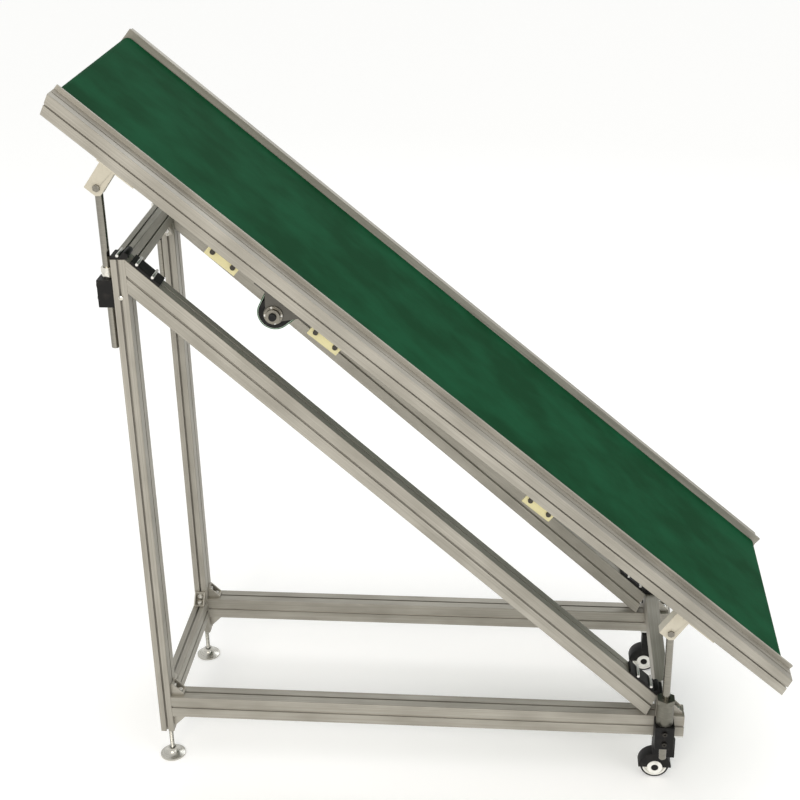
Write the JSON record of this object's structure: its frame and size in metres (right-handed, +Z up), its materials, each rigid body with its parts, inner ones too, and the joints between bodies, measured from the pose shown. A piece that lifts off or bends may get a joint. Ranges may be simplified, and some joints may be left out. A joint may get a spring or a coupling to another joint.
{
  "type": "inclined belt conveyor",
  "caption": "Inclined belt conveyor: slotted aluminium bed with a green belt, raised on steel rods through clamp blocks on a triangular stand with levelling feet and casters.",
  "frame": {"origin": "on the floor, midway between the outermost points of the bed", "axes": "+X down the slope from the tall legs to the casters, +Y across to the far side, +Z up"},
  "size_m": [1.9411, 0.815, 2.0895],
  "materials": {
    "anodised_aluminium": "satin anodised extrusion",
    "cast_aluminium": "tumbled die casting",
    "zinc_plated_steel": "zinc plated",
    "black_plastic": "matt glass-filled nylon",
    "black_block": "matt moulded block",
    "stainless_steel": "turned stainless",
    "caster_rubber": "moulded tyre",
    "green_pvc_belt": "satin PVC cover",
    "galvanised_steel": "galvanised sheet",
    "grey_steel": "dark grey paint",
    "roller_steel": "turned tube",
    "cream_paint": "cream powder coat",
    "ground_steel": "ground bright bar",
    "chrome": "bright plated"
  },
  "bodies": {
    "stand": {"base_cross_bar": "anodised_aluminium", "base_rail_far": "anodised_aluminium", "base_rail_near": "anodised_aluminium", "brace_far": "anodised_aluminium", "brace_near": "anodised_aluminium", "caster_plate_far": "zinc_plated_steel", "caster_plate_near": "zinc_plated_steel", "clamp_block_lower_far": "black_block", "clamp_block_lower_near": "black_block", "clamp_block_upper_far": "black_block", "clamp_block_upper_near": "black_block", "clamp_screws": "zinc_plated_steel", "corner_bolts": "zinc_plated_steel", "corner_brackets": "cast_aluminium", "foot_lock_nuts": "zinc_plated_steel", "leg_far": "anodised_aluminium", "leg_near": "anodised_aluminium", "low_cross_bar": "anodised_aluminium", "pivot_leaves_bar": "black_plastic", "pivot_leaves_brace": "black_plastic", "pivot_pins": "zinc_plated_steel", "top_cross_bar": "anodised_aluminium"},
    "bed": {"belt": "green_pvc_belt", "cross_members": "anodised_aluminium", "drive_bearings": "grey_steel", "drive_plates": "grey_steel", "guard_strip_far": "anodised_aluminium", "guard_strip_near": "anodised_aluminium", "idler_bracket_bolts": "zinc_plated_steel", "idler_brackets": "cream_paint", "lift_rods_lower": "ground_steel", "lift_rods_upper": "ground_steel", "pivot_bolts": "zinc_plated_steel", "pivot_brackets_lower": "cream_paint", "pivot_brackets_upper": "cream_paint", "rod_collars_lower": "zinc_plated_steel", "rod_collars_upper": "chrome", "side_rail_far": "anodised_aluminium", "side_rail_near": "anodised_aluminium", "slider_plate": "galvanised_steel"},
    "foot_near": {"foot_stud_near": "stainless_steel"},
    "pad_near": {"foot_pad_near": "stainless_steel"},
    "caster_near": {"caster_fork_near": "black_plastic", "caster_axle_near": "zinc_plated_steel"},
    "wheel_near": {"caster_wheel_near": "caster_rubber"},
    "foot_far": {"foot_stud_far": "stainless_steel"},
    "pad_far": {"foot_pad_far": "stainless_steel"},
    "caster_far": {"caster_fork_far": "black_plastic", "caster_axle_far": "zinc_plated_steel"},
    "wheel_far": {"caster_wheel_far": "caster_rubber"},
    "end_roller_upper": {"end_roller_upper": "roller_steel"},
    "end_roller_lower": {"end_roller_lower": "roller_steel"},
    "drive_drum": {"drive_drum": "roller_steel"},
    "snub_roller_upper": {"snub_roller_upper": "roller_steel"},
    "snub_roller_lower": {"snub_roller_lower": "roller_steel"},
    "return_idler_1": {"return_idler_1": "roller_steel"},
    "return_idler_2": {"return_idler_2": "roller_steel"},
    "return_idler_3": {"return_idler_3": "roller_steel"}
  },
  "joints": [
    {"name": "bed_height", "type": "slide", "parent": "stand", "child": "bed", "axis": [0, 0, 1], "range_m": [0, 0.09]},
    {"name": "foot_near_screw", "type": "slide", "parent": "stand", "child": "foot_near", "axis": [0, 0, 1], "range_m": [-0.03, 0.015]},
    {"name": "foot_near_tilt", "type": "hinge", "parent": "foot_near", "child": "pad_near", "pos_m": [-0.85007, -0.265, 0.016], "axis": [0, 1, 0], "range_deg": [-8, 8]},
    {"name": "caster_near_swivel", "type": "hinge", "parent": "stand", "child": "caster_near", "pos_m": [0.64393, -0.27, 0.155], "axis": [0, 0, 1], "continuous": true},
    {"name": "caster_near_spin", "type": "hinge", "parent": "caster_near", "child": "wheel_near", "pos_m": [0.61393, -0.27, 0.042], "axis": [0, 1, 0], "continuous": true},
    {"name": "foot_far_screw", "type": "slide", "parent": "stand", "child": "foot_far", "axis": [0, 0, 1], "range_m": [-0.03, 0.015]},
    {"name": "foot_far_tilt", "type": "hinge", "parent": "foot_far", "child": "pad_far", "pos_m": [-0.85007, 0.265, 0.016], "axis": [0, 1, 0], "range_deg": [-8, 8]},
    {"name": "caster_far_swivel", "type": "hinge", "parent": "stand", "child": "caster_far", "pos_m": [0.64393, 0.27, 0.155], "axis": [0, 0, 1], "continuous": true},
    {"name": "caster_far_spin", "type": "hinge", "parent": "caster_far", "child": "wheel_far", "pos_m": [0.61393, 0.27, 0.042], "axis": [0, 1, 0], "continuous": true},
    {"name": "end_roller_upper_spin", "type": "hinge", "parent": "bed", "child": "end_roller_upper", "pos_m": [-0.94506, 0, 2.04383], "axis": [0, 1, 0], "continuous": true},
    {"name": "end_roller_lower_spin", "type": "hinge", "parent": "bed", "child": "end_roller_lower", "pos_m": [0.9263, 0, 0.44554], "axis": [0, 1, 0], "continuous": true},
    {"name": "drive_drum_spin", "type": "hinge", "parent": "bed", "child": "drive_drum", "pos_m": [-0.43642, 0, 1.49302], "axis": [0, 1, 0], "continuous": true},
    {"name": "snub_roller_upper_spin", "type": "hinge", "parent": "bed", "child": "snub_roller_upper", "pos_m": [-0.46193, 0, 1.58017], "axis": [0, 1, 0], "continuous": true},
    {"name": "snub_roller_lower_spin", "type": "hinge", "parent": "bed", "child": "snub_roller_lower", "pos_m": [-0.34635, 0, 1.48145], "axis": [0, 1, 0], "continuous": true},
    {"name": "return_idler_1_spin", "type": "hinge", "parent": "bed", "child": "return_idler_1", "pos_m": [-0.54861, 0, 1.6542], "axis": [0, 1, 0], "continuous": true},
    {"name": "return_idler_2_spin", "type": "hinge", "parent": "bed", "child": "return_idler_2", "pos_m": [-0.29464, 0, 1.43729], "axis": [0, 1, 0], "continuous": true},
    {"name": "return_idler_3_spin", "type": "hinge", "parent": "bed", "child": "return_idler_3", "pos_m": [0.26654, 0, 0.958], "axis": [0, 1, 0], "continuous": true}
  ],
  "couplings": [
    {"joint": "end_roller_upper_spin", "follows": "drive_drum_spin", "ratio": 2.3077},
    {"joint": "end_roller_lower_spin", "follows": "drive_drum_spin", "ratio": 2.3077},
    {"joint": "snub_roller_upper_spin", "follows": "drive_drum_spin", "ratio": -2.4706},
    {"joint": "snub_roller_lower_spin", "follows": "drive_drum_spin", "ratio": -2.4706},
    {"joint": "return_idler_1_spin", "follows": "drive_drum_spin", "ratio": -2.4706},
    {"joint": "return_idler_2_spin", "follows": "drive_drum_spin", "ratio": -2.4706},
    {"joint": "return_idler_3_spin", "follows": "drive_drum_spin", "ratio": -2.4706}
  ]
}
